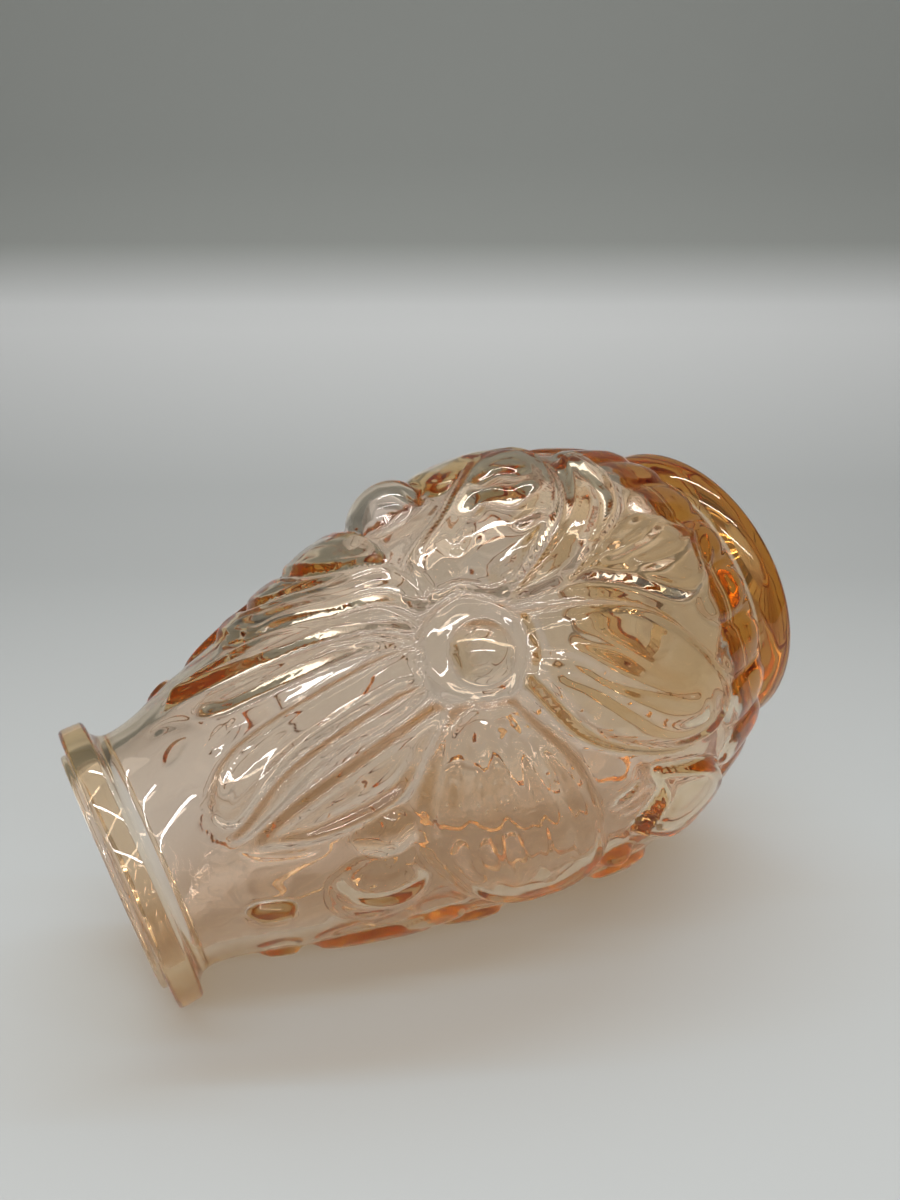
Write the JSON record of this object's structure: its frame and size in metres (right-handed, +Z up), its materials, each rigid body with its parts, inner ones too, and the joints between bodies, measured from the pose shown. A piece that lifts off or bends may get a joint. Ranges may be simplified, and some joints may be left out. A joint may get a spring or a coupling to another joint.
{
  "type": "bud vase",
  "caption": "Peach-tinted moulded glass bud vase with a solid foot, a bellied bowl, a collared mouth and large blossoms in relief.",
  "frame": {"origin": "centre of the foot's underside, on the table", "axes": "+Z up along the vase's axis towards the mouth, -Y towards the front blossom"},
  "size_m": [0.093, 0.095, 0.14],
  "materials": {
    "glass": "gloss"
  },
  "bodies": {
    "root": {"foot": "glass", "bowl": "glass", "collar": "glass", "front_boss": "glass", "front_petal_1": "glass", "front_petal_2": "glass", "front_petal_3": "glass", "front_petal_4": "glass", "front_petal_5": "glass", "front_petal_6": "glass", "front_petal_7": "glass", "front_petal_8": "glass", "front_petal_9": "glass", "front_leaf_1": "glass", "front_leaf_2": "glass", "front_leaf_3": "glass", "front_leaf_4": "glass", "front_bud_1": "glass", "front_bud_2": "glass", "front_bud_3": "glass", "back_boss": "glass", "back_petal_1": "glass", "back_petal_2": "glass", "back_petal_3": "glass", "back_petal_4": "glass", "back_petal_5": "glass", "back_petal_6": "glass", "back_petal_7": "glass", "back_petal_8": "glass", "back_petal_9": "glass", "back_leaf_1": "glass", "back_leaf_2": "glass", "back_leaf_3": "glass", "back_leaf_4": "glass", "back_bud_1": "glass", "back_bud_2": "glass", "back_bud_3": "glass"}
  },
  "joints": []
}
